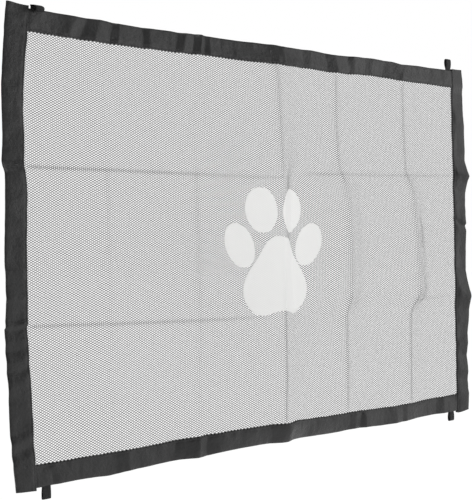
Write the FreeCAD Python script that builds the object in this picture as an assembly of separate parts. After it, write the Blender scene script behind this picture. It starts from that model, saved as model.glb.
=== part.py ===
"""Fabric pet gate: a see-through mesh panel with cloth bindings, four hanging loops and a paw appliqué.

Frame: origin at the centre of the gate, +X to the right, +Z up, the front face towards -Y.
The cloth is divided at its five packing folds into six columns. Column 1 is at the left.
"""
import FreeCAD
import Part
import os

from FreeCAD import Vector

# Driving dimensions, in millimetres and degrees.
GATE_WIDTH = 1100.0
GATE_HEIGHT = 720.0
BINDING_WIDTH = 35.0
MESH_THICKNESS = 0.8
LEAF_THICKNESS = 1.2            # cloth of one binding leaf with its edge turned under
COLUMN_COUNT = 6
COLUMN_GAP = 0.4                # slit between neighbouring columns at a fold line

SEAM_INSET = 3.0                # seam line to the binding's inner edge
THREAD_WIDTH = 0.6
THREAD_DEPTH = 0.3              # the thread is pulled into the cloth until it lies flush

LOOP_CENTRE_X = 500.0
RIBBON_WIDTH = 15.0
RIBBON_THICKNESS = 1.0
LOOP_EYE_DEPTH = 6.6            # inside of the loop, front to back
LOOP_REACH = 20.0               # edge of the gate to the loop's tip
LOOP_ROOT_GAP = 2.2             # pivot to the near end of the loop, room to swing past the hem
TOP_LEFT_LOOP_BEND = 105.0      # the top left loop is creased forwards by this angle
TAIL_LENGTH = 24.0              # ribbon ends sewn inside the hem
TAIL_THICKNESS = 0.8

PAW_FILM_THICKNESS = 0.3
PAW_CENTRE_X = -5.5
OUTER_TOE = {"x": 93.3, "z": -3.7, "long": 41.7, "short": 29.0, "tilt": 28.0}
INNER_TOE = {"x": 45.0, "z": 57.8, "long": 40.7, "short": 35.0, "tilt": 16.8}
# Left half of the main pad's outline from its top to its notch, as x and z from the paw's centre line.
MAIN_PAD_HALF = [
    (0.0, 11.0),
    (-30.0, 5.0),
    (-52.5, -22.5),
    (-76.0, -51.0),
    (-88.0, -80.0),
    (-76.0, -114.5),
    (-48.0, -129.0),
    (-21.0, -124.5),
    (0.0, -122.5),
]

# Worked out from the driving dimensions.
HALF_WIDTH = GATE_WIDTH / 2
HALF_HEIGHT = GATE_HEIGHT / 2
HALF_MESH = MESH_THICKNESS / 2
HALF_BINDING = HALF_MESH + LEAF_THICKNESS
INNER_X = HALF_WIDTH - BINDING_WIDTH
INNER_Z = HALF_HEIGHT - BINDING_WIDTH
COLUMN_WIDTH = GATE_WIDTH / COLUMN_COUNT
COLUMNS = range(1, COLUMN_COUNT + 1)


def box(x_range, y_range, z_range):
    """A block between the given low and high values along X, Y and Z."""
    lows = [min(pair) for pair in (x_range, y_range, z_range)]
    sizes = [abs(pair[1] - pair[0]) for pair in (x_range, y_range, z_range)]
    return Part.makeBox(sizes[0], sizes[1], sizes[2], Vector(*lows))


def column_span(number, outer_x):
    """The low and high X of a column whose outermost columns end at outer_x."""
    low = -HALF_WIDTH + (number - 1) * COLUMN_WIDTH + COLUMN_GAP / 2
    high = -HALF_WIDTH + number * COLUMN_WIDTH - COLUMN_GAP / 2
    return max(low, -outer_x), min(high, outer_x)


def mesh_panel(number):
    """One column of the net. Its edges lie inside the bindings, against their folds."""
    return box(
        column_span(number, HALF_WIDTH - LEAF_THICKNESS),
        (-HALF_MESH, HALF_MESH),
        (-HALF_HEIGHT + LEAF_THICKNESS, HALF_HEIGHT - LEAF_THICKNESS),
    )


def tail_block(side, end):
    """The doubled ribbon end that holds a loop, between the net and the hem's front leaf."""
    centre_x = side * LOOP_CENTRE_X
    return box(
        (centre_x - RIBBON_WIDTH / 2, centre_x + RIBBON_WIDTH / 2),
        (-HALF_MESH - TAIL_THICKNESS, -HALF_MESH),
        (end * (HALF_HEIGHT - TAIL_LENGTH), end * HALF_HEIGHT),
    )


def hem_binding(number, end):
    """One column of the top (end = 1) or bottom (end = -1) binding, folded over the net's edge."""
    span = column_span(number, INNER_X)
    strip = box(span, (-HALF_BINDING, HALF_BINDING), (end * INNER_Z, end * HALF_HEIGHT))
    net_slot = box(span, (-HALF_MESH, HALF_MESH), (end * INNER_Z, end * (HALF_HEIGHT - LEAF_THICKNESS)))
    strip = strip.cut(net_slot)
    if number == 1:
        strip = strip.cut(tail_block(-1, end))
    if number == COLUMN_COUNT:
        strip = strip.cut(tail_block(1, end))
    return strip.cut(hem_seam(number, end))


def side_binding(side):
    """The full-height binding on the left (side = -1) or right (side = 1) edge."""
    strip = box(
        (side * INNER_X, side * HALF_WIDTH),
        (-HALF_BINDING, HALF_BINDING),
        (-HALF_HEIGHT, HALF_HEIGHT),
    )
    net_slot = box(
        (side * INNER_X, side * (HALF_WIDTH - LEAF_THICKNESS)),
        (-HALF_MESH, HALF_MESH),
        (-HALF_HEIGHT + LEAF_THICKNESS, HALF_HEIGHT - LEAF_THICKNESS),
    )
    return strip.cut(net_slot).cut(side_seam(side))


def thread_pair(x_range, z_range):
    """A lockstitch seam: one thread in the front leaf and one in the back leaf."""
    front = box(x_range, (-HALF_BINDING, -HALF_BINDING + THREAD_DEPTH), z_range)
    back = box(x_range, (HALF_BINDING - THREAD_DEPTH, HALF_BINDING), z_range)
    return Part.makeCompound([front, back])


def hem_seam(number, end):
    """The seam along the inner edge of one column of the top or bottom binding."""
    centre_z = end * (INNER_Z + SEAM_INSET)
    return thread_pair(
        column_span(number, INNER_X),
        (centre_z - THREAD_WIDTH / 2, centre_z + THREAD_WIDTH / 2),
    )


def side_seam(side):
    """The seam along the inner edge of a side binding."""
    centre_x = side * (INNER_X + SEAM_INSET)
    return thread_pair(
        (centre_x - THREAD_WIDTH / 2, centre_x + THREAD_WIDTH / 2),
        (-HALF_HEIGHT, HALF_HEIGHT),
    )


def stadium(depth, low_z, high_z):
    """A bar of the given front-to-back depth with round ends, centred on Y = 0, one ribbon wide."""
    radius = depth / 2
    start_x = -RIBBON_WIDTH / 2
    lower = Vector(start_x, 0, low_z + radius)
    upper = Vector(start_x, 0, high_z - radius)
    front = Vector(0, -radius, 0)
    back = Vector(0, radius, 0)
    edges = [
        Part.LineSegment(lower + front, upper + front).toShape(),
        Part.Arc(upper + front, upper + Vector(0, 0, radius), upper + back).toShape(),
        Part.LineSegment(upper + back, lower + back).toShape(),
        Part.Arc(lower + back, lower - Vector(0, 0, radius), lower + front).toShape(),
    ]
    face = Part.Face(Part.Wire(edges))
    return face.extrude(Vector(RIBBON_WIDTH, 0, 0))


def hanging_loop(side, end, forward_bend):
    """A ribbon loop whose eye runs along X, swung forwards by forward_bend from straight out."""
    outer = stadium(LOOP_EYE_DEPTH + 2 * RIBBON_THICKNESS, LOOP_ROOT_GAP, LOOP_REACH)
    eye = stadium(LOOP_EYE_DEPTH, LOOP_ROOT_GAP + RIBBON_THICKNESS, LOOP_REACH - RIBBON_THICKNESS)
    ring = outer.cut(eye)
    ring.rotate(Vector(0, 0, 0), Vector(1, 0, 0), forward_bend)
    if end < 0:
        ring.rotate(Vector(0, 0, 0), Vector(1, 0, 0), 180)
    ring.translate(Vector(side * LOOP_CENTRE_X, 0, end * HALF_HEIGHT))
    return ring


def toe_pad(side, toe):
    """An elliptical toe pad whose top leans away from the paw's centre line."""
    ellipse = Part.Ellipse(Vector(0, 0, 0), toe["long"], toe["short"])
    face = Part.Face(Part.Wire(ellipse.toShape()))
    face.rotate(Vector(0, 0, 0), Vector(0, 0, 1), 90 - side * toe["tilt"])
    face.rotate(Vector(0, 0, 0), Vector(1, 0, 0), 90)
    face.translate(Vector(PAW_CENTRE_X + side * toe["x"], -HALF_MESH, toe["z"]))
    return face.extrude(Vector(0, -PAW_FILM_THICKNESS, 0))


def main_pad():
    """The large pad with its two lobes, symmetric about the paw's centre line."""
    mirrored = [(-x, z) for x, z in reversed(MAIN_PAD_HALF[1:-1])]
    points = [Vector(PAW_CENTRE_X + x, -HALF_MESH, z) for x, z in MAIN_PAD_HALF + mirrored]
    outline = Part.BSplineCurve()
    outline.interpolate(Points=points, PeriodicFlag=True)
    face = Part.Face(Part.Wire(outline.toShape()))
    return face.extrude(Vector(0, -PAW_FILM_THICKNESS, 0))


def main_pad_half(side):
    """The part of the main pad on one side of the centre fold at X = 0."""
    keep = box(
        (side * COLUMN_GAP / 2, side * COLUMN_WIDTH),
        (-HALF_BINDING, HALF_BINDING),
        (-HALF_HEIGHT, HALF_HEIGHT),
    )
    return main_pad().common(keep)


def all_parts():
    """Every node's name and shape."""
    parts = {}
    for number in COLUMNS:
        parts["mesh_panel_%d" % number] = mesh_panel(number)
        parts["top_binding_%d" % number] = hem_binding(number, 1)
        parts["bottom_binding_%d" % number] = hem_binding(number, -1)
        parts["top_seam_%d" % number] = hem_seam(number, 1)
        parts["bottom_seam_%d" % number] = hem_seam(number, -1)
    for side, side_name in ((-1, "left"), (1, "right")):
        parts["%s_binding" % side_name] = side_binding(side)
        parts["%s_seam" % side_name] = side_seam(side)
        parts["%s_outer_toe" % side_name] = toe_pad(side, OUTER_TOE)
        parts["%s_inner_toe" % side_name] = toe_pad(side, INNER_TOE)
        parts["%s_main_pad" % side_name] = main_pad_half(side)
        for end, end_name in ((1, "top"), (-1, "bottom")):
            corner = "%s_%s" % (end_name, side_name)
            bend = TOP_LEFT_LOOP_BEND if corner == "top_left" else 0.0
            parts["%s_loop" % corner] = hanging_loop(side, end, bend)
            parts["%s_loop_tail" % corner] = tail_block(side, end)
    return parts


def main():
    """Writes one STEP file for each node."""
    os.makedirs("parts", exist_ok=True)
    parts = all_parts()
    for name, shape in sorted(parts.items()):
        shape.exportStep("parts/%s.step" % name)
        print("%-24s valid=%s solids=%d volume=%.1f mm3"
              % (name, shape.isValid(), len(shape.Solids), shape.Volume))
    print("%d nodes" % len(parts))


main()
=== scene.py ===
"""The visual model of a fabric pet gate: net, cloth bindings, webbing loops and a paw of white film.

Lengths in this file are in millimetres, except where a call needs metres.
Every cloth piece is drawn flat first, as x and z on the cloth and lift off it (minus is towards the
viewer, plus is behind), and on_cloth() then lays it on the same slack, creased surface.
"""

import math

import bpy
import numpy as np
from mathutils import Matrix, Vector


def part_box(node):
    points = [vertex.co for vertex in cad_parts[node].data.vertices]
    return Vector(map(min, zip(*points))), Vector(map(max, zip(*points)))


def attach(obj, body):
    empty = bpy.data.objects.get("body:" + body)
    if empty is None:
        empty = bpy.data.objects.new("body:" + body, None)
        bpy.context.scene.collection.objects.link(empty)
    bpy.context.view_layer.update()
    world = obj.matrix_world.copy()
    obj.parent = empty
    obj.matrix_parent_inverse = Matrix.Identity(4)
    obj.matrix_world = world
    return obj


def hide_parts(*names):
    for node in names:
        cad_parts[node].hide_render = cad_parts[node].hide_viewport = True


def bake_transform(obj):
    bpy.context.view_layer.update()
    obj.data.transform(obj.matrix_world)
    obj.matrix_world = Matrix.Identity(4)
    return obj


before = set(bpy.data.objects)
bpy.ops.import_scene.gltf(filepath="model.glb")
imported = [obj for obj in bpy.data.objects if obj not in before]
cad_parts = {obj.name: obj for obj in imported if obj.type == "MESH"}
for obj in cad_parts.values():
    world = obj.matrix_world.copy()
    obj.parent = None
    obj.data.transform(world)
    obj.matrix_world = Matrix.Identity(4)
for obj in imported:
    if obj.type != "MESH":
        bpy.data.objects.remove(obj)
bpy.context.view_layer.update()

MM = 0.001

# Sizes that come from the CAD model.
SIDE_LOW, SIDE_HIGH = (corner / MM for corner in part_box("left_binding"))
HALF_WIDTH = -SIDE_LOW.x
HALF_HEIGHT = SIDE_HIGH.z
BINDING_WIDTH = SIDE_HIGH.x - SIDE_LOW.x
COLUMN_COUNT = 6
COLUMN_WIDTH = 2 * HALF_WIDTH / COLUMN_COUNT
LOOP_LOW, LOOP_HIGH = (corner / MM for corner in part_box("top_right_loop"))
LOOP_X = (LOOP_LOW.x + LOOP_HIGH.x) / 2
RIBBON_WIDTH = LOOP_HIGH.x - LOOP_LOW.x
LOOP_TIP = LOOP_HIGH.z - HALF_HEIGHT
TAIL_LENGTH = HALF_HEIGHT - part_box("top_right_loop_tail")[0].z / MM

# The net: holes in staggered rows.
HOLE_PITCH_X = 7.14
HOLE_PITCH_Z = 3.75
HOLE_TIP = 2.3                  # hole's centre to its left and right tips
HOLE_SHOULDER = 0.75            # hole's centre to the ends of its level edges
HOLE_HALF_HEIGHT = 1.1
STRAND_BULGE = 0.35             # how far a strand stands proud of the net's middle, on each face
NET_IN_BINDING = 10.0           # the net reaches this far under the bindings

# Slack of the cloth. Heights are how far the cloth lies behind the plane of its four corners, and
# minus is towards the viewer. Each list runs from the bottom edge to the top edge: (z, value).
CORNER_PLANE_Y = -8.0

FOLD_LINES = [
    [(-360, -550), (360, -550)],
    [(-360, -366), (360, -367)],
    [(-360, -184), (360, -182)],
    [(-360, 0), (360, 0)],
    [(-360, 176), (-145, 177), (-100, 182), (100, 180), (140, 176), (360, 175)],
    [(-360, 367), (-150, 368), (-95, 384), (100, 376), (145, 366), (360, 365)],
    [(-360, 550), (360, 550)],
]
FOLD_HEIGHTS = [
    [
        (-360, 0), (-320, 2), (-200, 9), (-123, 14), (-112, 11), (60, 10), (108, 9), (121, 14),
        (200, 13), (300, 6), (360, 0),
    ],
    [(-360, 14), (-240, 12), (-120, 9), (0, 10), (120, 13), (240, 14), (360, 16)],
    [(-360, 15), (-240, 13), (-120, 8), (0, 10), (120, 12), (240, 17), (360, 17)],
    [(-360, 6), (-330, -6), (-240, -13), (0, -13), (120, -14.5), (240, -9), (300, -5), (360, 10)],
    [
        (-360, 10), (-330, 2), (-240, 0), (-145, 1), (-95, -11), (0, -14), (95, -6), (145, 11),
        (240, 16), (360, 16),
    ],
    [(-360, 3), (-240, 1), (-150, 0), (-95, -16), (0, -13), (100, -6), (145, 6), (300, 10), (360, 6)],
    [(-360, 0), (-240, -2), (-60, -2), (0, 0), (60, -1), (240, -2), (360, 0)],
]
# How far each column bellies back between its fold lines, and where the belly is deepest (0 left, 1 right).
BELLY_DEPTHS = [
    [(-360, 0), (-250, 5), (0, 6), (250, 5), (360, 0)],
    [(-360, 3), (0, 5), (360, 3)],
    [(-360, 3), (-300, 1), (0, 0), (300, 1), (360, 3)],
    [(-360, 4), (-240, 15), (0, 26), (240, 16), (360, 0)],
    [(-360, -6), (-300, 6), (-160, 10), (-110, 20), (0, 22), (110, 15), (140, 6), (300, 4), (360, -6)],
    [(-360, 3), (-240, 9), (0, 16), (160, 8), (360, 2)],
]
BELLY_PLACES = [
    [(-360, 0.55), (360, 0.55)],
    [(-360, 0.5), (360, 0.5)],
    [(-360, 0.5), (360, 0.5)],
    [(-360, 0.4), (-150, 0.35), (-100, 0.25), (100, 0.25), (160, 0.4), (360, 0.45)],
    [(-360, 0.3), (360, 0.3)],
    [(-360, 0.28), (360, 0.28)],
]

# How sharply the cloth is pinched along a crease, from 0 to about 1: a narrow pleat stands towards the
# viewer, with cloth gathered into it from both sides.
FOLD_PINCHES = [
    [(-360, 0.0), (-130, 0.05), (0, 0.12), (110, 0.2), (140, 0.05), (360, 0.0)],
    [(-360, 0.0), (-100, 0.1), (110, 0.15), (140, 0.05), (360, 0.0)],
    [(-360, 0.7), (-120, 0.75), (0, 0.0), (120, 0.1), (150, 0.2), (360, 0.2)],
    [(-360, 0.5), (-120, 0.5), (-90, 0.0), (100, 0.0), (130, 0.4), (360, 0.4)],
    [(-360, 0.6), (-120, 0.7), (-90, 0.1), (100, 0.1), (130, 0.55), (360, 0.55)],
]
# The same for softly rounded stretches of the folds, where a band of the net is drawn together.
FOLD_BANDS = [
    [(-360, 0.0), (360, 0.0)],
    [(-360, 0.0), (-120, 0.2), (120, 0.3), (140, 0.0), (360, 0.0)],
    [(-360, 0.0), (-120, 0.0), (110, 0.0), (140, 0.9), (360, 0.9)],
    [(-360, 0.1), (-130, 0.2), (-100, 1.0), (110, 1.0), (140, 0.3), (360, 0.3)],
    [(-360, 0.1), (-130, 0.2), (-100, 1.0), (110, 1.0), (140, 0.3), (360, 0.3)],
]
BAND_CLOSES = 0.07              # share by which the net's holes are closed in the middle of a full band
BAND_WITHIN = 9.0               # distance at which that has fallen to about a third

# The two level packing folds: where each runs, and how sharply it is pinched along the way.
LEVEL_CREASES = [
    {
        "path": [(-550, 120), (-250, 119), (-30, 116), (110, 127), (400, 132), (550, 138)],
        "pinch": [
            (-550, 0.6), (-500, 0.7), (-300, 0.65), (-120, 0.4), (-20, 0.25), (60, 0.0), (120, 0.35),
            (430, 0.3), (550, 0.1),
        ],
    },
    {
        "path": [(-550, -119), (-80, -131), (370, -120), (550, -117)],
        "pinch": [
            (-550, 0.5), (-500, 0.55), (-260, 0.55), (-100, 0.35), (0, 0.0), (370, 0.0), (400, 0.5),
            (440, 0.2), (550, 0.0),
        ],
    },
]

# How far the paw's film, right of the middle crease, lies nearer to it than its flat outline does.
TOE_TUCKS = {"right_inner_toe_film": 8.0, "right_outer_toe_film": 4.5}
MAIN_PAD_TUCK = [(-150, 2), (-110, 5), (-60, 5), (-15, 0)]
MAIN_PAD_TUCK_RISE = 60.0       # distance from the crease at which the main pad is drawn in fully

PINCH_HALF_WIDTH = 4.0          # distance at which the pleat's height has fallen to about a third
PINCH_HEIGHT = 1.8              # how far a full pinch stands towards the viewer
PINCH_GATHER = 1.6              # how far the cloth beside a full pinch is drawn in
GATHER_REACH = 60.0             # distance over which that drawing in dies away
PINCH_CLOSES = 0.34             # share by which the net's holes are closed on a full pinch
PINCH_CLOSES_WITHIN = 3.2       # distance at which that has fallen to about a third

# How far the cloth is drawn out of its flat rectangle along each edge: the binding's outer edge and its inner
# edge, as (place along the edge, shift). Shifts are along X at the sides and along Z at the hems.
EDGE_DRIFTS = {
    ("left", "outer"): [
        (-360, 0), (-315, -3.4), (-280, -4.5), (-200, -5.3), (-157, -5.3), (-122, -6.0), (-105, -4.9),
        (-52, -3.7), (-17, -5.3), (50, -3.8), (106, -3.0), (125, -3.2), (158, -2.4), (193, -3.8),
        (228, -5.4), (281, -3.1), (316, -1.4), (360, 1.0),
    ],
    ("left", "inner"): [
        (-360, 0), (-227, 0), (-174, -1.8), (-150, -1.4), (-122, -2.9), (-104, -2.1), (0, -1.8),
        (36, -0.2), (88, 0.4), (106, -1.4), (160, -1.2), (211, -2.8), (228, -2.4), (263, -0.9),
        (298, 1.9), (316, 3.6), (360, 4.5),
    ],
    ("right", "outer"): [
        (-360, 0), (-309, 2.0), (-258, 1.4), (-224, 1.4), (-207, 4.3), (-173, 7.7), (-138, 8.0),
        (-121, 8.0), (-104, 7.0), (-60, 6.0), (0, 5.0), (32, 3.4), (66, 4.3), (100, 7.0), (117, 7.5),
        (134, 8.0), (151, 8.0), (185, 7.0), (219, 4.5), (253, 1.5), (305, 4.5), (322, 3.0), (360, 0.5),
    ],
    ("right", "inner"): [
        (-360, 2.5), (-326, 4.0), (-258, 6.0), (-190, 8.3), (-110, 5.7), (-60, 8.0), (-19, 11.0),
        (32, 9.2), (66, 8.6), (134, 7.2), (200, 7.2), (253, 5.2), (305, 4.0), (360, 1.0),
    ],
    ("top", "outer"): [
        (-550, 0), (-515, -2.0), (-440, -1.6), (-415, -2.1), (-371, -0.9), (-336, -2.5), (-285, -2.3),
        (-225, -0.9), (-206, -1.4), (-166, 0.2), (-146, -1.2), (-90, -1.0), (-18, 0.5), (4, 0.5),
        (26, -1.1), (73, 0), (130, 0.8), (146, 0.6), (171, -1.0), (200, -0.2), (302, 1.0), (330, 0.6),
        (358, -2.8), (387, -1.6), (416, 0), (475, 0), (515, -1.0), (550, 0),
    ],
    ("top", "inner"): [
        (-550, 0), (-515, -2.0), (-470, -1.8), (-439, -3.0), (-422, -2.2), (-371, -3.2), (-300, -2.2),
        (-206, -1.7), (-166, -1.1), (-62, -2.1), (4, -1.4), (26, -2.9), (73, 0), (200, 0), (248, 1.6),
        (302, 2.8), (330, 1.4), (358, -1.2), (445, 0), (506, -2.0), (550, 0),
    ],
    ("bottom", "outer"): [
        (-550, 0), (-515, -2.5), (-439, -3.4), (-405, -4.8), (-371, -7.5), (-354, -6.7), (-336, -5.1),
        (-281, -4.4), (-224, -3.6), (-184, -5.2), (-164, -4.3), (-144, -2.2), (-81, -1.7), (-37, -2.0),
        (7, -3.3), (30, -0.6), (77, -2.0), (151, -4.2), (202, -2.5), (228, -2.8), (281, -5.2),
        (337, -5.4), (394, -3.7), (515, -3.9), (550, 0),
    ],
    ("bottom", "inner"): [
        (-550, 0), (-515, -2.0), (-455, -3.8), (-371, -5.0), (-262, -4.6), (-164, -2.0), (-81, -1.1),
        (7, -0.6), (30, 1.0), (77, -2.2), (151, -3.4), (202, -3.0), (281, -5.6), (365, -5.4),
        (453, -3.7), (515, -2.0), (550, 0),
    ],
}
DRIFT_FADE = 90.0               # the net's holes are even again this far in from the bindings

# Places up the right edge where the binding's folded edge is nipped towards the viewer.
RIGHT_KINKS = [134, -121]
RIGHT_KINK_DEPTH = 6.0
RIGHT_KINK_LENGTH = 16.0        # distance at which a nip has fallen to about a third

# Pressed folds across the bindings: (start, end, depth). The strip comes towards the viewer by the depth from
# start to end, measured along X on the hems and down from the middle on the sides, and then eases back.
# All the depths are multiplied by FOLD_PRESS.
FOLD_PRESS = 1.8
HEM_FOLDS = {
    1: [
        (-448, -422, 1.2), (-400, -375, 2.2), (-348, -337, 1.5), (-285, -272, 1.5), (-210, -195, 1.6),
        (-175, -162, 2.6), (-155, -145, 1.0), (-8, 26, 5.0), (80, 103, 2.2), (145, 172, 4.0),
        (205, 220, 1.6), (250, 272, 1.5), (310, 368, 5.5), (450, 498, 2.5),
    ],
    -1: [
        (-480, -470, 0.8), (-358, -335, 2.2), (-240, -190, 4.0), (-168, -142, 2.5), (-22, 13, 5.5),
        (178, 198, 1.6), (212, 226, 2.0), (280, 318, 2.0), (338, 350, 1.0), (450, 472, 2.5), (515, 545, 2.0),
    ],
}
SIDE_FOLDS = {
    -1: [
        (-300, -210, 1.5), (-128, -117, 1.8), (20, 35, 0.8), (65, 75, 0.8), (110, 119, 2.2), (122, 142, 1.0),
        (155, 170, 1.4), (186, 200, 1.4), (280, 290, 1.5), (308, 318, 1.5),
    ],
    1: [
        (-290, -240, 2.0), (-168, -136, 4.5), (-98, -34, 2.5), (-30, -19, 1.8), (65, 114, 4.5),
        (200, 220, 2.2), (245, 280, 2.2), (300, 312, 1.0),
    ],
}


def smooth_through(points, at):
    """A smooth curve through (key, value) points that never overshoots them, read at the keys `at`."""
    keys = np.array([point[0] for point in points], float)
    values = np.array([point[1] for point in points], float)
    steps = np.diff(keys)
    rises = np.diff(values) / steps
    slopes = np.zeros(len(keys))
    slopes[0] = rises[0]
    slopes[-1] = rises[-1]
    for i in range(1, len(keys) - 1):
        if rises[i - 1] * rises[i] > 0:
            slopes[i] = 2 * rises[i - 1] * rises[i] / (rises[i - 1] + rises[i])
    span = np.clip(np.searchsorted(keys, at, side="right") - 1, 0, len(keys) - 2)
    t = np.clip((at - keys[span]) / steps[span], 0, 1)
    return (
        (2 * t**3 - 3 * t**2 + 1) * values[span]
        + (t**3 - 2 * t**2 + t) * steps[span] * slopes[span]
        + (3 * t**2 - 2 * t**3) * values[span + 1]
        + (t**3 - t**2) * steps[span] * slopes[span + 1]
    )


def smoothstep(low, high, value):
    """0 below low, 1 above high, and a smooth rise between them."""
    t = np.clip((value - low) / (high - low), 0, 1)
    return t * t * (3 - 2 * t)


def wrinkle_noise(x, z, size, seed):
    """Soft bumps between -1 and 1, about `size` apart."""
    cells = int(2400 / size) + 3
    grid = np.random.default_rng(seed).uniform(-1, 1, (cells, cells))
    u = (x + 1200) / size
    v = (z + 1200) / size
    column = np.floor(u).astype(int)
    row = np.floor(v).astype(int)
    fu = smoothstep(0, 1, u - column)
    fv = smoothstep(0, 1, v - row)
    low = grid[row, column] * (1 - fu) + grid[row, column + 1] * fu
    high = grid[row + 1, column] * (1 - fu) + grid[row + 1, column + 1] * fu
    return low * (1 - fv) + high * fv


def pressed_folds(along, folds):
    """The height of a strip's pressed folds, read at places along it."""
    knots = []
    for start, end, depth in folds:
        knots.append((start, depth / 2))
        knots.append((end, -depth / 2))
    return np.interp(along, [knot[0] for knot in knots], [knot[1] for knot in knots])


def binding_relief(x, z):
    """Creases and crumpling that only the stiffer binding cloth has."""
    tilt = 0.5 * wrinkle_noise(x, z, 90, 7)
    y = np.zeros_like(x)
    for end in (1, -1):
        inward = HALF_HEIGHT - end * z
        share = 1 - smoothstep(BINDING_WIDTH - 4, BINDING_WIDTH + 16, inward)
        y = y + share * FOLD_PRESS * pressed_folds(x + tilt * inward, HEM_FOLDS[end])
    for side in (-1, 1):
        inward = HALF_WIDTH - side * x
        share = 1 - smoothstep(BINDING_WIDTH - 12, BINDING_WIDTH + 8, inward)
        y = y + share * FOLD_PRESS * pressed_folds(-z + tilt * inward, SIDE_FOLDS[side])
    for kink in RIGHT_KINKS:
        nip = np.exp(-np.abs(z - kink) / RIGHT_KINK_LENGTH)
        y = y - RIGHT_KINK_DEPTH * nip * (1 - smoothstep(0, BINDING_WIDTH + 5, HALF_WIDTH - x))
    edge = np.minimum(HALF_HEIGHT - np.abs(z), HALF_WIDTH - np.abs(x))
    crumple = 0.5 * wrinkle_noise(x, z, 13, 8) + 0.25 * wrinkle_noise(x, z, 6, 9)
    return y + crumple * (1 - smoothstep(BINDING_WIDTH - 2, BINDING_WIDTH + 4, edge))


def net_share(x, z):
    """1 out in the net and 0 in the bindings, whose stiffer cloth doesn't take a sharp pinch."""
    edge = np.minimum(HALF_HEIGHT - np.abs(z), HALF_WIDTH - np.abs(x))
    return smoothstep(BINDING_WIDTH - 4, BINDING_WIDTH + 14, edge)


def pinches(x, z):
    """For each crease: distance across it, how strongly it is pinched there, and if it is level."""
    x_safe = np.clip(x, -HALF_WIDTH, HALF_WIDTH)
    z_safe = np.clip(z, -HALF_HEIGHT, HALF_HEIGHT)
    share = net_share(x, z)
    for line, pinch in zip(FOLD_LINES[1:-1], FOLD_PINCHES):
        yield x - smooth_through(line, z_safe), share * smooth_through(pinch, z_safe), False
    for crease in LEVEL_CREASES:
        distance = z - smooth_through(crease["path"], x_safe)
        yield distance, share * smooth_through(crease["pinch"], x_safe), True


def hole_closing(x, z):
    """The share by which the net's holes are closed by the creases they lie in."""
    closing = np.zeros_like(x)
    for distance, pinch, _ in pinches(x, z):
        closing = closing + PINCH_CLOSES * pinch * np.exp(-((distance / PINCH_CLOSES_WITHIN) ** 2))
    for line, band in zip(FOLD_LINES[1:-1], FOLD_BANDS):
        distance = x - smooth_through(line, z)
        closing = closing + BAND_CLOSES * smooth_through(band, z) * np.exp(-((distance / BAND_WITHIN) ** 2))
    return np.clip(closing, 0, 0.8)


def relief(x, z):
    """Y of the cloth's middle surface at the cloth's x and z."""
    z_safe = np.clip(z, -HALF_HEIGHT, HALF_HEIGHT)
    lines = [smooth_through(line, z_safe) for line in FOLD_LINES]
    heights = [smooth_through(height, z_safe) for height in FOLD_HEIGHTS]
    x_safe = np.clip(x, lines[0] + 0.01, lines[-1] - 0.01)
    y = np.zeros_like(x_safe)
    for i in range(COLUMN_COUNT):
        inside = (x_safe >= lines[i]) & (x_safe < lines[i + 1])
        u = np.clip((x_safe - lines[i]) / (lines[i + 1] - lines[i]), 0, 1)
        place = smooth_through(BELLY_PLACES[i], z_safe)
        t = np.clip(u / place, 0, 1)
        v = np.clip((u - place) / (1 - place), 0, 1)
        belly = (0.5 * t + 0.5 * smoothstep(0, 1, t)) * (1 - 0.3 * v - 0.7 * v**3)
        column_y = heights[i] * (1 - u) + heights[i + 1] * u
        column_y = column_y + smooth_through(BELLY_DEPTHS[i], z_safe) * belly
        y = np.where(inside, column_y, y)
    for distance, pinch, _ in pinches(x, z):
        y = y - PINCH_HEIGHT * pinch * np.exp(-np.abs(distance) / PINCH_HALF_WIDTH)
    y = y + 0.9 * wrinkle_noise(x, z, 55, 3) + 0.45 * wrinkle_noise(x, z, 21, 4)
    return y + binding_relief(x, z) + CORNER_PLANE_Y


def gathered(distance, pinch):
    """How far a point at this distance from a crease is drawn in towards it."""
    reach = np.abs(distance)
    drawn = (1 - np.exp(-reach / PINCH_HALF_WIDTH)) * np.exp(-reach / GATHER_REACH)
    return PINCH_GATHER * pinch * np.sign(distance) * drawn


def drift(edge, along, inward):
    """How far the cloth is drawn out of its rectangle near one edge."""
    share = np.clip(inward / BINDING_WIDTH, 0, 1)
    outer = smooth_through(EDGE_DRIFTS[edge, "outer"], along)
    inner = smooth_through(EDGE_DRIFTS[edge, "inner"], along)
    fade = 1 - smoothstep(BINDING_WIDTH, BINDING_WIDTH + DRIFT_FADE, inward)
    return (outer * (1 - share) + inner * share) * fade


def surface(x, z):
    """The cloth's middle surface, as rows of X, Y and Z in millimetres."""
    x_safe = np.clip(x, -HALF_WIDTH, HALF_WIDTH)
    z_safe = np.clip(z, -HALF_HEIGHT, HALF_HEIGHT)
    shift_x = drift("left", z_safe, HALF_WIDTH + x) + drift("right", z_safe, HALF_WIDTH - x)
    shift_z = drift("top", x_safe, HALF_HEIGHT - z) + drift("bottom", x_safe, HALF_HEIGHT + z)
    for distance, pinch, level in pinches(x, z):
        if level:
            shift_z = shift_z - gathered(distance, pinch)
        else:
            shift_x = shift_x - gathered(distance, pinch)
    return np.stack([x + shift_x, relief(x, z), z + shift_z], 1)


def on_cloth(points):
    """Row-frame positions, in metres, of flat cloth points given as rows of x, z and lift."""
    x, z, lift = np.asarray(points, float).T
    reach = 0.8
    across = surface(x + reach, z) - surface(x - reach, z)
    upward = surface(x, z + reach) - surface(x, z - reach)
    away = np.cross(upward, across)
    away /= np.linalg.norm(away, axis=1)[:, None]
    return (surface(x, z) + away * lift[:, None]) * MM


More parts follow.
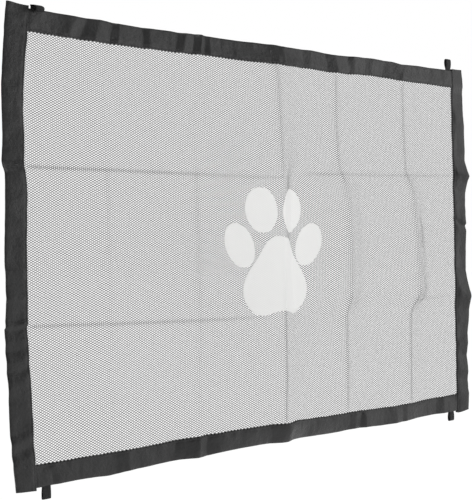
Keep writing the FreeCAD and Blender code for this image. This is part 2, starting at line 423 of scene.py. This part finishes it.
def tube_faces(ring, rings, start=0):
    """Faces of a closed tube made of `rings` rings of `ring` corners, numbered from `start`."""
    faces = []
    last = start + (rings - 1) * ring
    for low in range(start, last, ring):
        for k in range(ring):
            after = (k + 1) % ring
            faces.append((low + k, low + after, low + ring + after, low + ring + k))
    faces.append(tuple(range(start, start + ring))[::-1])
    faces.append(tuple(range(last, last + ring)))
    return faces


def make_mesh(name, points, faces, uv_points, material, sharp_pairs=None):
    """A smooth-shaded piece. uv_points are the flat cloth places of its points, in millimetres."""
    mesh = bpy.data.meshes.new(name)
    sizes = np.array([len(face) for face in faces]) if isinstance(faces, list) else None
    if sizes is None:
        sizes = np.concatenate([np.full(len(group), group.shape[1]) for group in faces])
        corners = np.concatenate([group.ravel() for group in faces])
    else:
        corners = np.concatenate([np.asarray(face) for face in faces])
    starts = np.concatenate([[0], np.cumsum(sizes)[:-1]])
    mesh.vertices.add(len(points))
    mesh.vertices.foreach_set("co", np.asarray(points, np.float32).ravel())
    mesh.loops.add(len(corners))
    mesh.loops.foreach_set("vertex_index", corners.astype(np.int32))
    mesh.polygons.add(len(sizes))
    mesh.polygons.foreach_set("loop_start", starts.astype(np.int32))
    mesh.update(calc_edges=True)
    mesh.validate()
    mesh.shade_smooth()
    layer = mesh.uv_layers.new(name="cloth")
    loop_points = np.empty(len(mesh.loops), np.int32)
    mesh.loops.foreach_get("vertex_index", loop_points)
    flat = np.asarray(uv_points, float)[loop_points] * MM
    layer.uv.foreach_set("vector", flat.astype(np.float32).ravel())
    if sharp_pairs is not None:
        edges = np.empty(len(mesh.edges) * 2, np.int32)
        mesh.edges.foreach_get("vertices", edges)
        edges = np.sort(edges.reshape(-1, 2), axis=1)
        keys = edges[:, 0].astype(np.int64) * len(points) + edges[:, 1]
        pairs = np.sort(sharp_pairs, axis=1)
        sharp = np.isin(keys, pairs[:, 0].astype(np.int64) * len(points) + pairs[:, 1])
        mesh.attributes.new("sharp_edge", "BOOLEAN", "EDGE").data.foreach_set("value", sharp)
    mesh.materials.append(material)
    piece = bpy.data.objects.new(name, mesh)
    bpy.context.scene.collection.objects.link(piece)
    return piece


# ---------------- materials


def new_material(name, colour, roughness, **inputs):
    material = bpy.data.materials.new(name)
    material.use_nodes = True
    shader = material.node_tree.nodes["Principled BSDF"]
    shader.inputs["Base Color"].default_value = (*colour, 1)
    shader.inputs["Roughness"].default_value = roughness
    for key, value in inputs.items():
        shader.inputs[key.replace("_", " ")].default_value = value
    return material


def add_node(material, kind, inputs=(), **settings):
    node = material.node_tree.nodes.new(kind)
    for key, value in settings.items():
        setattr(node, key, value)
    for socket, value in dict(inputs).items():
        if isinstance(value, bpy.types.NodeSocket):
            material.node_tree.links.new(value, node.inputs[socket])
        else:
            node.inputs[socket].default_value = value
    return node


def connect(material, socket, name):
    material.node_tree.links.new(socket, material.node_tree.nodes["Principled BSDF"].inputs[name])


def flat_coordinates(material):
    """Cloth coordinates in millimetres, as separate X and Y sockets, and together."""
    uv = add_node(material, "ShaderNodeUVMap", uv_map="cloth")
    scaled = add_node(
        material,
        "ShaderNodeVectorMath",
        {0: uv.outputs["UV"], 1: (1000, 1000, 1000)},
        operation="MULTIPLY",
    )
    parts = add_node(material, "ShaderNodeSeparateXYZ", {0: scaled.outputs[0]})
    return parts.outputs["X"], parts.outputs["Y"], scaled.outputs[0]


def math_node(material, operation, first, second=0.0):
    return add_node(material, "ShaderNodeMath", {0: first, 1: second}, operation=operation).outputs[0]


def wave(material, coordinate, pitch, operation="SINE"):
    """A wave between -1 and 1 that repeats every `pitch` millimetres along a coordinate."""
    return math_node(material, operation, math_node(material, "MULTIPLY", coordinate, 2 * math.pi / pitch))


def shade_between(material, factor, low, high):
    """Makes the colour go from low to high as factor goes from 0 to 1."""
    ramp = add_node(material, "ShaderNodeValToRGB", {"Fac": factor})
    ramp.color_ramp.elements[0].color = (*low, 1)
    ramp.color_ramp.elements[1].color = (*high, 1)
    connect(material, ramp.outputs["Color"], "Base Color")


def add_bump(material, height, strength, distance):
    """Bumps the surface by a height socket, over any bump it already has."""
    bump = add_node(
        material, "ShaderNodeBump", {"Height": height, "Strength": strength, "Distance": distance}
    )
    normal = material.node_tree.nodes["Principled BSDF"].inputs["Normal"]
    if normal.is_linked:
        material.node_tree.links.new(normal.links[0].from_socket, bump.inputs["Normal"])
    connect(material, bump.outputs[0], "Normal")
    return bump


def oxford_cloth():
    """Black polyester Oxford: a fine plain weave with a dull sheen, paler where it is rubbed."""
    material = new_material(
        "oxford_cloth",
        (0.008, 0.008, 0.0082),
        0.3,
        Specular_IOR_Level=0.42,
        Sheen_Weight=0.01,
        Sheen_Roughness=0.5,
    )
    x, z, both = flat_coordinates(material)
    warp = wave(material, x, 0.9)
    weft = wave(material, z, 0.9)
    weave = math_node(material, "MULTIPLY", warp, weft)
    rubbed = add_node(
        material, "ShaderNodeTexNoise", {"Vector": both, "Scale": 0.05, "Detail": 6.0, "Roughness": 0.65}
    )
    shade_between(material, rubbed.outputs["Fac"], (0.003, 0.003, 0.0032), (0.013, 0.013, 0.0132))
    crumple = add_node(material, "ShaderNodeTexNoise", {"Vector": both, "Scale": 0.16, "Detail": 3.0})
    add_bump(material, crumple.outputs["Fac"], 0.25, 0.003)
    add_bump(material, weave, 0.22, 0.0002)
    return material


def webbing():
    """Black ribbed webbing, the ribs across the ribbon."""
    material = new_material("webbing", (0.01, 0.01, 0.011), 0.55, Specular_IOR_Level=0.3, Sheen_Weight=0.03)
    x, z, both = flat_coordinates(material)
    ribs = wave(material, z, 1.1)
    yarns = wave(material, x, 0.8)
    height = math_node(material, "ADD", ribs, math_node(material, "MULTIPLY", yarns, 0.4))
    add_bump(material, height, 0.6, 0.0003)
    fuzz = add_node(material, "ShaderNodeTexNoise", {"Vector": both, "Scale": 0.6, "Detail": 4.0})
    shade_between(material, fuzz.outputs["Fac"], (0.006, 0.006, 0.0065), (0.016, 0.016, 0.017))
    return material


def net_yarn():
    """Dark grey knitted polyester yarn."""
    material = new_material("net_yarn", (0.18, 0.18, 0.183), 0.6, Sheen_Weight=0.15)
    x, z, both = flat_coordinates(material)
    twist = wave(material, math_node(material, "ADD", x, z), 0.45)
    add_bump(material, twist, 0.3, 0.0001)
    mottle = add_node(material, "ShaderNodeTexNoise", {"Vector": both, "Scale": 0.35, "Detail": 3.0})
    shade_between(material, mottle.outputs["Fac"], (0.15, 0.15, 0.152), (0.215, 0.215, 0.217))
    return material


def sewing_thread():
    """Black twisted thread with a slight gloss."""
    material = new_material("sewing_thread", (0.025, 0.025, 0.027), 0.42)
    x, z, both = flat_coordinates(material)
    twist = wave(material, math_node(material, "ADD", x, z), 0.5)
    add_bump(material, twist, 0.5, 0.0001)
    mottle = add_node(material, "ShaderNodeTexNoise", {"Vector": both, "Scale": 0.5})
    shade_between(material, mottle.outputs["Fac"], (0.018, 0.018, 0.019), (0.035, 0.035, 0.037))
    return material


def paw_film():
    """White film pressed onto the net, which shows through it as shallow dimples over the holes."""
    material = new_material("paw_film", (0.86, 0.86, 0.85), 0.6)
    x, z, both = flat_coordinates(material)
    across = wave(material, x, HOLE_PITCH_X, "COSINE")
    up = wave(material, z, HOLE_PITCH_Z, "COSINE")
    holes = math_node(material, "MULTIPLY", across, up)
    share = math_node(material, "ADD", math_node(material, "MULTIPLY", holes, 0.5), 0.5)
    shade_between(material, share, (0.83, 0.83, 0.82), (0.89, 0.89, 0.88))
    add_bump(material, share, 0.5, 0.0003).invert = True
    return material


CLOTH = oxford_cloth()
WEBBING = webbing()
YARN = net_yarn()
THREAD = sewing_thread()
FILM = paw_film()

# ---------------- how pieces are divided and carried


def fold_x(number):
    """X of packing fold 1 to 5."""
    return -HALF_WIDTH + number * COLUMN_WIDTH


def stretches(low, high):
    """The stretches a full-width piece is cut into, at the middle of each column: name, x range, fold."""
    middles = [fold_x(number) - COLUMN_WIDTH / 2 for number in range(1, COLUMN_COUNT + 1)]
    found = [("left", low, middles[0], None)]
    for number in range(1, COLUMN_COUNT):
        found.append(("fold_%d" % number, middles[number - 1], middles[number], number))
    found.append(("right", middles[-1], high, None))
    return found


def carry(piece, fold, ending="left"):
    """Puts a piece that crosses no packing fold on its end column; a piece that crosses one only has its
    placement baked into its mesh.
    """
    if fold is None:
        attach(piece, "column_1" if ending == "left" else "column_%d" % COLUMN_COUNT)
        return
    x = fold_x(fold)
    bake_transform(piece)


def nodes_for(template, fold, ending):
    """The CAD nodes that a stretch stands for."""
    if fold is not None:
        return [template % fold, template % (fold + 1)]
    return [template % (1 if ending == "left" else COLUMN_COUNT)]


# ---------------- the net


def net_piece(name, low, high):
    """Net between two x values. Each hole sits in a diamond cell whose sides are the strands' middles."""
    half_x = HOLE_PITCH_X / 2
    half_z = HOLE_PITCH_Z / 2
    reach_z = HALF_HEIGHT - BINDING_WIDTH + NET_IN_BINDING
    first = int(math.ceil(low / half_x))
    last = int(math.ceil(high / half_x))
    rows = int(reach_z / half_z)
    i, j = np.meshgrid(np.arange(first, last), np.arange(-rows, rows + 1), indexing="ij")
    staggered = (i + j) % 2 == 0
    i = i[staggered]
    j = j[staggered]
    # Corner points are shared between cells, so each gets one number.
    steps = [(1, 0), (0, 1), (-1, 0), (0, -1)]
    height = 2 * rows + 5
    keys = np.stack([(i + di - first + 2) * height + (j + dj + rows + 2) for di, dj in steps], 1)
    corners, corner_of = np.unique(keys, return_inverse=True)
    corner_of = corner_of.reshape(keys.shape)
    corner_x = (corners // height - 2 + first) * half_x
    corner_z = (corners % height - 2 - rows) * half_z
    hole_x = np.array([HOLE_TIP, HOLE_SHOULDER, -HOLE_SHOULDER, -HOLE_TIP, -HOLE_SHOULDER, HOLE_SHOULDER])
    hole_z = np.array([0, 1, 1, 0, -1, -1]) * HOLE_HALF_HEIGHT
    opening = 1 - hole_closing(i * half_x, j * half_z)[:, None]
    rim_x = (i[:, None] * half_x + opening * hole_x).ravel()
    rim_z = (j[:, None] * half_z + opening * hole_z).ravel()
    count = len(corners)
    x = np.concatenate([corner_x, corner_x, rim_x])
    z = np.concatenate([corner_z, corner_z, rim_z])
    lift = np.concatenate([np.full(count, -STRAND_BULGE), np.full(count, STRAND_BULGE), np.zeros(len(rim_x))])
    rim_of = 2 * count + np.arange(len(rim_x)).reshape(-1, len(hole_x))
    right, top, left, bottom = corner_of.T
    east, north_east, north_west, west, south_west, south_east = rim_of.T
    quads = [
        (right, top, north_east, east),
        (top, left, west, north_west),
        (left, bottom, south_west, west),
        (bottom, right, east, south_east),
    ]
    triangles = [(top, north_west, north_east), (bottom, south_east, south_west)]
    front_quads = np.concatenate([np.stack(quad, 1) for quad in quads])
    front_triangles = np.concatenate([np.stack(triangle, 1) for triangle in triangles])

    def behind(faces):
        """The same faces on the back, facing the other way."""
        return np.where(faces < count, faces + count, faces)[:, ::-1]

    # Strand sides used by one cell only are the cut edges, closed by a narrow wall from front to back.
    sides = np.concatenate([corner_of[:, [a, (a + 1) % 4]] for a in range(4)])
    ordered = np.sort(sides, axis=1)
    _, index, uses = np.unique(ordered, axis=0, return_index=True, return_counts=True)
    cut = sides[index[uses == 1]]
    walls = np.stack([cut[:, 1], cut[:, 0], cut[:, 0] + count, cut[:, 1] + count], 1)
    faces = (
        np.concatenate([front_quads, behind(front_quads), walls]),
        np.concatenate([front_triangles, behind(front_triangles)]),
    )
    points = on_cloth(np.stack([x, z, lift], 1))
    sharp = np.concatenate([cut, cut + count])
    return make_mesh(name, points, faces, np.stack([x, z], 1), YARN, sharp)


def add_net():
    inner = HALF_WIDTH - BINDING_WIDTH + NET_IN_BINDING
    for ending, low, high, fold in stretches(-inner, inner):
        piece = net_piece("net_%s" % ending, low, high)
        carry(piece, fold, ending)
        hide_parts(*nodes_for("mesh_panel_%d", fold, ending))


# ---------------- bindings

# (distance in from the folded edge, lift): inside of the front leaf from the fold to its turned-under
# edge, then its outside back to the fold. The back leaf is the same, a little wider.
FRONT_PROFILE = [
    (1.3, 0.0), (3.0, -1.0), (14.0, -1.05), (26.0, -1.05), (27.5, -0.5), (34.2, -0.48), (35.1, -0.75),
    (35.0, -1.3), (34.3, -1.66), (33.2, -1.72), (32.4, -1.5), (31.6, -1.5), (30.6, -1.74),
    (27.0, -1.8), (22.0, -1.68), (15.0, -1.62), (8.0, -1.66), (3.0, -1.66), (1.0, -1.45), (0.1, -0.8),
]
BACK_LEAF_EXTRA = 1.5           # the back leaf is this much wider than the front leaf
HEM_INSET = 2.5                 # the hems stop this far short of the side bindings' ends
HEM_END_INSET = 12.0            # the hems' ends lie this far inside the gate's side edges
SIDE_OVERHANG = 1.2             # the side bindings reach this far past the gate's top and bottom
OVER_HEM_LIFT = 0.75            # the side bindings lie this much prouder where they cover the hems
TAIL_BULGE = 0.7                # how much a leaf stands out over a loop's sewn-in ribbon ends
SEAM_PLACE = 32.0               # folded edge to the seam
PROFILE_STEP = 2.6


def binding_profile():
    """The closed cross-section: distance in from the fold, and lift."""
    front = np.array(FRONT_PROFILE, float)
    back = front[1:][::-1].copy()
    back[:, 1] *= -1
    back[:, 0] += BACK_LEAF_EXTRA * smoothstep(20, 34, back[:, 0])
    fold = np.array([[-0.15, 0.0]])
    return np.concatenate([front, fold, back])


def pucker(along, inward, lift, seed):
    """Small cross ripples, strongest at the seam, and slow unevenness of the strip."""
    outside = np.abs(lift) > 1.2
    near_seam = np.exp(-(((inward - SEAM_PLACE) / 9.0) ** 2))
    ripple = 0.28 * near_seam * wrinkle_noise(along, np.sign(lift) * 400, 7.0, seed)
    loose = 0.45 * wrinkle_noise(along, inward + 300 * np.sign(lift), 16.0, seed + 1)
    loose = loose * smoothstep(1, 9, inward)
    return np.where(outside, np.sign(lift) * np.abs(ripple + np.maximum(loose, -0.1)), 0.0)


def sweep_strip(name, stations, place, material, seed):
    """A binding strip: its cross-section carried along `stations`, closed at both ends."""
    profile = binding_profile()
    ring = len(profile)
    along = np.repeat(stations, ring)
    inward = np.tile(profile[:, 0], len(stations))
    lift = np.tile(profile[:, 1], len(stations))
    lift = lift + pucker(along, inward, lift, seed)
    edge_wander = 0.5 * wrinkle_noise(along, along * 0 + 50, 24.0, seed + 2) * smoothstep(28, 34, inward)
    inward = inward + edge_wander
    x, z, extra = place(along, inward)
    points = on_cloth(np.stack([x, z, lift + extra * np.sign(lift)], 1))
    faces = tube_faces(ring, len(stations))
    perimeter = np.tile(np.cumsum(np.hypot(*np.diff(profile, axis=0, prepend=profile[:1]).T)), len(stations))
    rim = np.stack([np.arange(ring), (np.arange(ring) + 1) % ring], 1)
    rims = np.concatenate([rim, rim + len(points) - ring])
    return make_mesh(name, points, faces, np.stack([along, perimeter], 1), material, rims)


def stations_between(low, high, step):
    return np.linspace(low, high, int(math.ceil((high - low) / step)) + 1)


def tail_bulge(x, inward):
    """The bulge of a leaf over the loops' sewn-in ribbon ends."""
    near = 1 - smoothstep(RIBBON_WIDTH / 2 + 4, RIBBON_WIDTH / 2 + 9, np.abs(np.abs(x) - LOOP_X))
    return TAIL_BULGE * near * (1 - smoothstep(TAIL_LENGTH - 2, TAIL_LENGTH + 3, inward))


def add_hems():
    inner = HALF_WIDTH - HEM_END_INSET
    for end, end_name in ((1, "top"), (-1, "bottom")):
        for ending, low, high, fold in stretches(-inner, inner):

            def place(along, inward):
                drop = HEM_INSET + inward * (1 - HEM_INSET / BINDING_WIDTH)
                return along, end * (HALF_HEIGHT - drop), tail_bulge(along, inward)

            name = "%s_hem_%s" % (end_name, ending)
            stations = stations_between(low, high, PROFILE_STEP)
            piece = sweep_strip(name, stations, place, CLOTH, 10 if end > 0 else 20)
            carry(piece, fold, ending)
            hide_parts(*nodes_for(end_name + "_binding_%d", fold, ending))
            stitches = add_stitches("%s_stitches_%s" % (end_name, ending), low, high, place)
            carry(stitches, fold, ending)
            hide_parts(*nodes_for(end_name + "_seam_%d", fold, ending))


def add_side_bindings():
    reach = HALF_HEIGHT + SIDE_OVERHANG
    hem_inner = HALF_HEIGHT - BINDING_WIDTH
    for side, side_name, column in ((-1, "left", "column_1"), (1, "right", "column_6")):

        def place(along, inward):
            over_hem = smoothstep(hem_inner - 6, hem_inner, np.abs(along))
            return side * (HALF_WIDTH - inward), along, OVER_HEM_LIFT * over_hem

        stations = stations_between(-reach, reach, PROFILE_STEP)
        piece = sweep_strip("%s_binding_strip" % side_name, stations, place, CLOTH, 30 + 5 * side)
        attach(piece, column)
        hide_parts("%s_binding" % side_name)
        stitches = add_stitches("%s_stitches" % side_name, -reach + 2, reach - 2, place)
        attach(stitches, column)
        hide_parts("%s_seam" % side_name)


# ---------------- stitches

STITCH_PITCH = 3.6
STITCH_LENGTH = 3.0
THREAD_RADIUS = 0.28
THREAD_SIDES = 6
STITCH_LIFT = 1.62              # the thread's middle stands this far off the cloth's middle surface


def add_stitches(name, low, high, place):
    """A row of lockstitches on both faces: each one a short thread that dips into the cloth at its ends."""
    centres = np.arange(low + STITCH_PITCH / 2, high, STITCH_PITCH)
    rings = np.array([-0.5, -0.42, -0.2, 0.0, 0.2, 0.42, 0.5]) * STITCH_LENGTH
    swell = np.array([0.15, 0.75, 1.0, 1.0, 1.0, 0.75, 0.15]) * THREAD_RADIUS
    dip = np.array([0.45, 0.2, 0.0, 0.0, 0.0, 0.2, 0.45])
    turns = np.arange(THREAD_SIDES) * 2 * math.pi / THREAD_SIDES
    along = []
    across = []
    lifts = []
    faces = []
    for face in (-1, 1):
        for centre in centres:
            start = len(along) * THREAD_SIDES
            for ring_at, radius, sink in zip(rings, swell, dip):
                along.append(np.full(THREAD_SIDES, centre + ring_at))
                across.append(SEAM_PLACE + radius * np.cos(turns))
                lifts.append(face * (STITCH_LIFT - sink + radius * np.sin(turns)))
            faces.extend(corners[::face] for corners in tube_faces(THREAD_SIDES, len(rings), start))
    along = np.concatenate(along)
    across = np.concatenate(across)
    lifts = np.concatenate(lifts)
    x, z, extra = place(along, across)
    points = on_cloth(np.stack([x, z, lifts + extra * np.sign(lifts)], 1))
    return make_mesh(name, points, faces, np.stack([along, across], 1), THREAD)


# ---------------- loops

RIBBON_HALF_THICKNESS = 0.5
RIBBON_NARROWER = 0.4           # the ribbon is drawn this much narrower than its room in the hem
TOP_LEFT_BEND = 114.0           # the top left loop is creased this far forwards over the hem
# How wide each loop's eye gapes, from 0 (pressed flat) to 1, and how far right of its CAD loop it sits.
LOOP_OPENNESS = {"top_left": 1.0, "bottom_left": 0.25, "top_right": 0.7, "bottom_right": 0.6}
LOOP_SHIFTS = {"top_left": 1.0, "bottom_left": 4.4, "top_right": 4.0, "bottom_right": -4.0}


def loop_path(openness):
    """A ribbon loop's middle line over the hem's edge, from front tail to back tail: depths and heights."""
    control = [
        (-1.15, -TAIL_LENGTH),
        (-1.15, -12.0),
        (-1.1, -2.0),
        (-1.2 - 1.2 * openness, 2.0),
        (-1.3 - 2.4 * openness, 7.0),
        (-1.4 - 2.6 * openness, 12.0),
        (-1.4 - 2.1 * openness, 16.5),
        (-0.8 - 0.4 * openness, LOOP_TIP - 0.7),
        (0.8 + 0.4 * openness, LOOP_TIP - 0.8),
        (1.3 + 2.0 * openness, 16.3),
        (1.2 + 2.6 * openness, 12.0),
        (0.8 + 2.4 * openness, 7.0),
        (0.4 + 1.2 * openness, 2.0),
        (-0.3, -2.0),
        (-0.55, -12.0),
        (-0.55, -TAIL_LENGTH),
    ]
    keys = np.arange(len(control), dtype=float)
    at = np.linspace(0, len(control) - 1, 76)
    depth = smooth_through(list(zip(keys, [point[0] for point in control])), at)
    height = smooth_through(list(zip(keys, [point[1] for point in control])), at)
    return depth, height


def add_loop(side, end, name):
    """One webbing loop, its tails lying in the hem."""
    depth, height = loop_path(LOOP_OPENNESS[name])
    centre_x = side * LOOP_X + LOOP_SHIFTS[name]
    bend = math.radians(TOP_LEFT_BEND) if name == "top_left" else 0.0
    width = RIBBON_WIDTH - RIBBON_NARROWER
    # Corners of the ribbon's cross-section, as shares of its width and of its half thickness.
    cross = [
        (-0.5, 0), (-0.485, 0.8), (-0.25, 1.0), (0, 1.0), (0.25, 1.0), (0.485, 0.8),
        (0.5, 0), (0.485, -0.8), (0.25, -1.0), (0, -1.0), (-0.25, -1.0), (-0.485, -0.8),
    ]
    tangent = np.stack([np.gradient(depth), np.gradient(height)], 1)
    tangent /= np.linalg.norm(tangent, axis=1)[:, None]
    normal = np.stack([tangent[:, 1], -tangent[:, 0]], 1)
    length = np.concatenate([[0], np.cumsum(np.hypot(np.diff(depth), np.diff(height)))])
    points = []
    flat = []
    for k in range(len(depth)):
        for across, out in cross:
            d = depth[k] + normal[k, 0] * out * RIBBON_HALF_THICKNESS
            h = height[k] + normal[k, 1] * out * RIBBON_HALF_THICKNESS
            above = float(smoothstep(-1.0, 3.0, np.array(height[k])))
            turn = bend * above
            d_turned = d * math.cos(turn) - h * math.sin(turn) if h > 0 else d
            h_turned = h * math.cos(turn) + d * math.sin(turn) if h > 0 else h
            points.append((centre_x + across * width, d_turned, h_turned))
            flat.append((across * width, length[k]))
    points = np.array(points)
    x = points[:, 0]
    base_y = relief(x * 0 + centre_x, x * 0 + end * HALF_HEIGHT)
    in_hem = points[:, 2] < 0
    hem_z = end * (HALF_HEIGHT + np.minimum(points[:, 2], 0))
    y = points[:, 1] + np.where(in_hem, relief(x, hem_z), base_y)
    placed = np.stack([x, y, end * (HALF_HEIGHT + points[:, 2])], 1) * MM
    faces = tube_faces(len(cross), len(depth))
    piece = make_mesh("%s_webbing" % name, placed, faces, flat, WEBBING)
    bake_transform(piece)
    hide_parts("%s_loop" % name, "%s_loop_tail" % name)


def add_loops():
    for side, side_name, column in ((-1, "left", "column_1"), (1, "right", "column_6")):
        for end, end_name in ((1, "top"), (-1, "bottom")):
            add_loop(side, end, "%s_%s" % (end_name, side_name))


# ---------------- the paw

# Lifts of the film's front and back, and of the corners where they meet at its edge.
FILM_FRONT = -0.75
FILM_FRONT_CORNER = -0.68
FILM_BACK_CORNER = -0.5
FILM_BACK = -0.42
FILM_RING_STEP = 2.0
FILM_EDGE_POINTS = 180


def pad_outline(nodes):
    """The pad's centre and its edge's distance at each angle, read off the CAD pad's own edge."""
    corners = []
    for node in nodes:
        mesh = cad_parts[node].data
        co = np.array([vertex.co for vertex in mesh.vertices], float) / MM
        front = co[:, 1] < co[:, 1].min() + 0.05
        corners.append(co[front][:, [0, 2]])
    corners = np.concatenate(corners)
    centre = (corners.min(0) + corners.max(0)) / 2
    offset = corners - centre
    angle = np.arctan2(offset[:, 1], offset[:, 0])
    order = np.argsort(angle)
    return centre, angle[order], np.hypot(*offset[order].T)


def film_tuck(name, x, z):
    """How far a pad's film lies nearer to the middle crease than its flat outline does."""
    if name == "main_pad_film":
        return smooth_through(MAIN_PAD_TUCK, z) * smoothstep(0, MAIN_PAD_TUCK_RISE, x)
    return TOE_TUCKS.get(name, 0.0)


def add_pad(name, nodes, carrier):
    """One pad of film, drawn as rings round its centre. The carrier is a fold's number or a column's name."""
    centre, angles, distances = pad_outline(nodes)
    turns = np.linspace(-math.pi, math.pi, FILM_EDGE_POINTS + 1)[:-1]
    edge = np.interp(turns, angles, distances, period=2 * math.pi)
    rings = int(edge.max() / FILM_RING_STEP)
    shares = list(np.linspace(0, 1, rings)[1:])
    x = [centre[0]]
    z = [centre[1]]
    lift = [FILM_FRONT]
    for share in shares:
        x.extend(centre[0] + share * edge * np.cos(turns))
        z.extend(centre[1] + share * edge * np.sin(turns))
        lift.extend([FILM_FRONT if share < 1 else FILM_FRONT_CORNER] * len(turns))
    for share in reversed(shares):
        x.extend(centre[0] + share * edge * np.cos(turns))
        z.extend(centre[1] + share * edge * np.sin(turns))
        lift.extend([FILM_BACK if share < 1 else FILM_BACK_CORNER] * len(turns))
    x.append(centre[0])
    z.append(centre[1])
    lift.append(FILM_BACK)
    count = len(turns)
    total = 2 * len(shares)
    faces = []
    for k in range(count):
        after = (k + 1) % count
        faces.append((0, 1 + after, 1 + k))
        for ring in range(total - 1):
            start = 1 + ring * count
            faces.append((start + k, start + after, start + count + after, start + count + k))
        start = 1 + (total - 1) * count
        faces.append((start + k, start + after, len(x) - 1))
    flat = np.stack([np.array(x), np.array(z)], 1)
    drawn_x = flat[:, 0] - film_tuck(name, flat[:, 0], flat[:, 1])
    points = on_cloth(np.stack([drawn_x, z, lift], 1))
    piece = make_mesh(name, points, faces, flat, FILM)
    if isinstance(carrier, int):
        carry(piece, carrier)
    else:
        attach(piece, carrier)
    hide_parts(*nodes)


def add_paw():
    add_pad("main_pad_film", ["left_main_pad", "right_main_pad"], 3)
    add_pad("left_inner_toe_film", ["left_inner_toe"], 3)
    add_pad("right_inner_toe_film", ["right_inner_toe"], 3)
    add_pad("left_outer_toe_film", ["left_outer_toe"], "column_3")
    add_pad("right_outer_toe_film", ["right_outer_toe"], "column_4")


# ---------------- camera, floor and light

ROOM_LIGHT = 0.27               # light from all round, beside the white that the camera sees behind the gate


def add_camera():
    camera = bpy.data.cameras.new("camera")
    camera.sensor_fit = "VERTICAL"
    camera.sensor_height = 36.0
    camera.lens = 79.75
    holder = bpy.data.objects.new("camera", camera)
    bpy.context.scene.collection.objects.link(holder)
    yaw = math.radians(42.142)
    pitch = math.radians(-0.125)
    roll = math.radians(-1.114)
    forward = Vector(
        (math.sin(yaw) * math.cos(pitch), math.cos(yaw) * math.cos(pitch), math.sin(pitch))
    )
    level_right = Vector((math.cos(yaw), -math.sin(yaw), 0))
    level_up = level_right.cross(forward)
    right = math.cos(roll) * level_right + math.sin(roll) * level_up
    up = math.cos(roll) * level_up - math.sin(roll) * level_right
    axes = Matrix((right, up, -forward)).transposed().to_4x4()
    place = Vector((-1.39496, -1.42437 + CORNER_PLANE_Y * MM, -0.00759))
    holder.matrix_world = Matrix.Translation(place) @ axes
    bpy.context.scene.camera = holder


def add_floor():
    mesh = bpy.data.meshes.new("floor")
    reach = 12.0
    low = -0.40
    mesh.from_pydata(
        [(-reach, -reach, low), (reach, -reach, low), (reach, reach, low), (-reach, reach, low)],
        [],
        [(0, 1, 2, 3)],
    )
    material = new_material("floor_paper", (0.12, 0.12, 0.12), 1.0, Specular_IOR_Level=0.0)
    shader = material.node_tree.nodes["Principled BSDF"]
    shader.inputs["Emission Color"].default_value = (1, 1, 1, 1)
    shader.inputs["Emission Strength"].default_value = 0.98
    mesh.materials.append(material)
    floor = bpy.data.objects.new("floor", mesh)
    bpy.context.scene.collection.objects.link(floor)


def add_area_light(name, place, target, width, height, power):
    light = bpy.data.lights.new(name, "AREA")
    light.shape = "RECTANGLE"
    light.size = width
    light.size_y = height
    light.energy = power
    holder = bpy.data.objects.new(name, light)
    bpy.context.scene.collection.objects.link(holder)
    holder.location = place
    direction = Vector(target) - Vector(place)
    holder.rotation_euler = direction.to_track_quat("-Z", "Y").to_euler()


def add_light():
    world = bpy.data.worlds.new("studio")
    world.use_nodes = True
    nodes = world.node_tree.nodes
    paths = nodes.new("ShaderNodeLightPath")
    level = nodes.new("ShaderNodeMapRange")
    level.inputs["To Min"].default_value = ROOM_LIGHT
    level.inputs["To Max"].default_value = 1.0
    world.node_tree.links.new(paths.outputs["Is Camera Ray"], level.inputs["Value"])
    nodes["Background"].inputs["Color"].default_value = (1, 1, 1, 1)
    world.node_tree.links.new(level.outputs["Result"], nodes["Background"].inputs["Strength"])
    bpy.context.scene.world = world
    add_area_light("right_softbox", (1.5, -1.17, 0.35), (0, 0, 0.1), 1.2, 2.4, 13)
    add_area_light("top_softbox", (-0.4, -1.2, 1.9), (0, 0, 0), 1.2, 1.2, 17)
    bpy.context.scene.view_settings.view_transform = "Standard"
    bpy.context.scene.view_settings.look = "None"


add_net()
add_hems()
add_side_bindings()
add_loops()
add_paw()
add_camera()
add_floor()
add_light()
